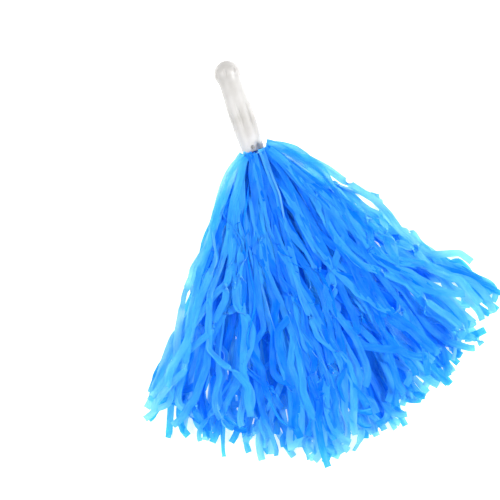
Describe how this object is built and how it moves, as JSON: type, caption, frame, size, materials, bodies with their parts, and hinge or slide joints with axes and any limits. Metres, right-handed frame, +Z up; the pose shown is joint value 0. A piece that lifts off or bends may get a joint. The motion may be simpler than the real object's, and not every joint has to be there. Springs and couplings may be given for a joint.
{
  "type": "cheer pom pom",
  "caption": "Hand-held pom pom: a fluted hollow plastic handle with a knob end, and a fan of long thin film streamers from its mouth, lying on a surface.",
  "frame": {"origin": "on the surface that the pom pom lies on, under the middle of its bounding box", "axes": "+X along the handle's axis from the knob to the streamers' tips, +Z up from the surface"},
  "size_m": [0.42, 0.3768, 0.031],
  "materials": {
    "handle_plastic": "matte",
    "pin_steel": "satin",
    "wire_steel": "satin",
    "streamer_film": "satin"
  },
  "bodies": {
    "handle": {"handle_shell": "handle_plastic", "retaining_pin": "pin_steel", "streamer_header": "streamer_film", "binding_wire": "wire_steel"},
    "upper_streamers_01": {"upper_streamers_01": "streamer_film"},
    "upper_streamers_02": {"upper_streamers_02": "streamer_film"},
    "upper_streamers_03": {"upper_streamers_03": "streamer_film"},
    "upper_streamers_04": {"upper_streamers_04": "streamer_film"},
    "upper_streamers_05": {"upper_streamers_05": "streamer_film"},
    "upper_streamers_06": {"upper_streamers_06": "streamer_film"},
    "upper_streamers_07": {"upper_streamers_07": "streamer_film"},
    "upper_streamers_08": {"upper_streamers_08": "streamer_film"},
    "upper_streamers_09": {"upper_streamers_09": "streamer_film"},
    "upper_streamers_10": {"upper_streamers_10": "streamer_film"},
    "upper_streamers_11": {"upper_streamers_11": "streamer_film"},
    "lower_streamers_left_1": {"lower_streamers_left_1": "streamer_film"},
    "lower_streamers_left_2": {"lower_streamers_left_2": "streamer_film"},
    "lower_streamers_left_3": {"lower_streamers_left_3": "streamer_film"},
    "lower_streamers_left_4": {"lower_streamers_left_4": "streamer_film"},
    "lower_streamers_left_5": {"lower_streamers_left_5": "streamer_film"},
    "lower_streamers_left_6": {"lower_streamers_left_6": "streamer_film"},
    "lower_streamers_right_1": {"lower_streamers_right_1": "streamer_film"},
    "lower_streamers_right_2": {"lower_streamers_right_2": "streamer_film"},
    "lower_streamers_right_3": {"lower_streamers_right_3": "streamer_film"},
    "lower_streamers_right_4": {"lower_streamers_right_4": "streamer_film"},
    "lower_streamers_right_5": {"lower_streamers_right_5": "streamer_film"},
    "lower_streamers_right_6": {"lower_streamers_right_6": "streamer_film"}
  },
  "joints": [
    {"name": "upper_01_lift", "type": "hinge", "parent": "handle", "child": "upper_streamers_01", "pos_m": [-0.11119, -0.01624, 0.024], "axis": [-0.5801, -0.8146, 0], "range_deg": [0, 35]},
    {"name": "upper_02_lift", "type": "hinge", "parent": "handle", "child": "upper_streamers_02", "pos_m": [-0.10936, -0.0133, 0.024], "axis": [-0.4751, -0.88, 0], "range_deg": [0, 35]},
    {"name": "upper_03_lift", "type": "hinge", "parent": "handle", "child": "upper_streamers_03", "pos_m": [-0.10791, -0.01016, 0.024], "axis": [-0.3628, -0.9319, 0], "range_deg": [0, 35]},
    {"name": "upper_04_lift", "type": "hinge", "parent": "handle", "child": "upper_streamers_04", "pos_m": [-0.10685, -0.00686, 0.024], "axis": [-0.245, -0.9695, 0], "range_deg": [0, 35]},
    {"name": "upper_05_lift", "type": "hinge", "parent": "handle", "child": "upper_streamers_05", "pos_m": [-0.10621, -0.00346, 0.024], "axis": [-0.1234, -0.9924, 0], "range_deg": [0, 35]},
    {"name": "upper_06_lift", "type": "hinge", "parent": "handle", "child": "upper_streamers_06", "pos_m": [-0.106, 0, 0.024], "axis": [0, -1, 0], "range_deg": [0, 35]},
    {"name": "upper_07_lift", "type": "hinge", "parent": "handle", "child": "upper_streamers_07", "pos_m": [-0.10621, 0.00346, 0.024], "axis": [0.1234, -0.9924, 0], "range_deg": [0, 35]},
    {"name": "upper_08_lift", "type": "hinge", "parent": "handle", "child": "upper_streamers_08", "pos_m": [-0.10685, 0.00686, 0.024], "axis": [0.245, -0.9695, 0], "range_deg": [0, 35]},
    {"name": "upper_09_lift", "type": "hinge", "parent": "handle", "child": "upper_streamers_09", "pos_m": [-0.10791, 0.01016, 0.024], "axis": [0.3628, -0.9319, 0], "range_deg": [0, 35]},
    {"name": "upper_10_lift", "type": "hinge", "parent": "handle", "child": "upper_streamers_10", "pos_m": [-0.10936, 0.0133, 0.024], "axis": [0.4751, -0.88, 0], "range_deg": [0, 35]},
    {"name": "upper_11_lift", "type": "hinge", "parent": "handle", "child": "upper_streamers_11", "pos_m": [-0.11119, 0.01624, 0.024], "axis": [0.5801, -0.8146, 0], "range_deg": [0, 35]},
    {"name": "lower_left_1_spread", "type": "hinge", "parent": "handle", "child": "lower_streamers_left_1", "pos_m": [-0.10605, 0.00159, 0], "axis": [0, 0, 1], "range_deg": [0, 4]},
    {"name": "lower_left_2_spread", "type": "hinge", "parent": "handle", "child": "lower_streamers_left_2", "pos_m": [-0.1064, 0.00474, 0], "axis": [0, 0, 1], "range_deg": [0, 8]},
    {"name": "lower_left_3_spread", "type": "hinge", "parent": "handle", "child": "lower_streamers_left_3", "pos_m": [-0.10712, 0.00783, 0], "axis": [0, 0, 1], "range_deg": [0, 12]},
    {"name": "lower_left_4_spread", "type": "hinge", "parent": "handle", "child": "lower_streamers_left_4", "pos_m": [-0.10818, 0.01083, 0], "axis": [0, 0, 1], "range_deg": [0, 16]},
    {"name": "lower_left_5_spread", "type": "hinge", "parent": "handle", "child": "lower_streamers_left_5", "pos_m": [-0.10957, 0.01368, 0], "axis": [0, 0, 1], "range_deg": [0, 20]},
    {"name": "lower_left_6_spread", "type": "hinge", "parent": "handle", "child": "lower_streamers_left_6", "pos_m": [-0.11128, 0.01636, 0], "axis": [0, 0, 1], "range_deg": [0, 24]},
    {"name": "lower_right_1_spread", "type": "hinge", "parent": "handle", "child": "lower_streamers_right_1", "pos_m": [-0.10605, -0.00159, 0], "axis": [0, 0, -1], "range_deg": [0, 4]},
    {"name": "lower_right_2_spread", "type": "hinge", "parent": "handle", "child": "lower_streamers_right_2", "pos_m": [-0.1064, -0.00474, 0], "axis": [0, 0, -1], "range_deg": [0, 8]},
    {"name": "lower_right_3_spread", "type": "hinge", "parent": "handle", "child": "lower_streamers_right_3", "pos_m": [-0.10712, -0.00783, 0], "axis": [0, 0, -1], "range_deg": [0, 12]},
    {"name": "lower_right_4_spread", "type": "hinge", "parent": "handle", "child": "lower_streamers_right_4", "pos_m": [-0.10818, -0.01083, 0], "axis": [0, 0, -1], "range_deg": [0, 16]},
    {"name": "lower_right_5_spread", "type": "hinge", "parent": "handle", "child": "lower_streamers_right_5", "pos_m": [-0.10957, -0.01368, 0], "axis": [0, 0, -1], "range_deg": [0, 20]},
    {"name": "lower_right_6_spread", "type": "hinge", "parent": "handle", "child": "lower_streamers_right_6", "pos_m": [-0.11128, -0.01636, 0], "axis": [0, 0, -1], "range_deg": [0, 24]}
  ],
  "couplings": [
    {"joint": "lower_left_1_spread", "follows": "lower_left_6_spread", "ratio": 0.16667},
    {"joint": "lower_left_2_spread", "follows": "lower_left_6_spread", "ratio": 0.33333},
    {"joint": "lower_left_3_spread", "follows": "lower_left_6_spread", "ratio": 0.5},
    {"joint": "lower_left_4_spread", "follows": "lower_left_6_spread", "ratio": 0.66667},
    {"joint": "lower_left_5_spread", "follows": "lower_left_6_spread", "ratio": 0.83333},
    {"joint": "lower_right_1_spread", "follows": "lower_right_6_spread", "ratio": 0.16667},
    {"joint": "lower_right_2_spread", "follows": "lower_right_6_spread", "ratio": 0.33333},
    {"joint": "lower_right_3_spread", "follows": "lower_right_6_spread", "ratio": 0.5},
    {"joint": "lower_right_4_spread", "follows": "lower_right_6_spread", "ratio": 0.66667},
    {"joint": "lower_right_5_spread", "follows": "lower_right_6_spread", "ratio": 0.83333}
  ]
}
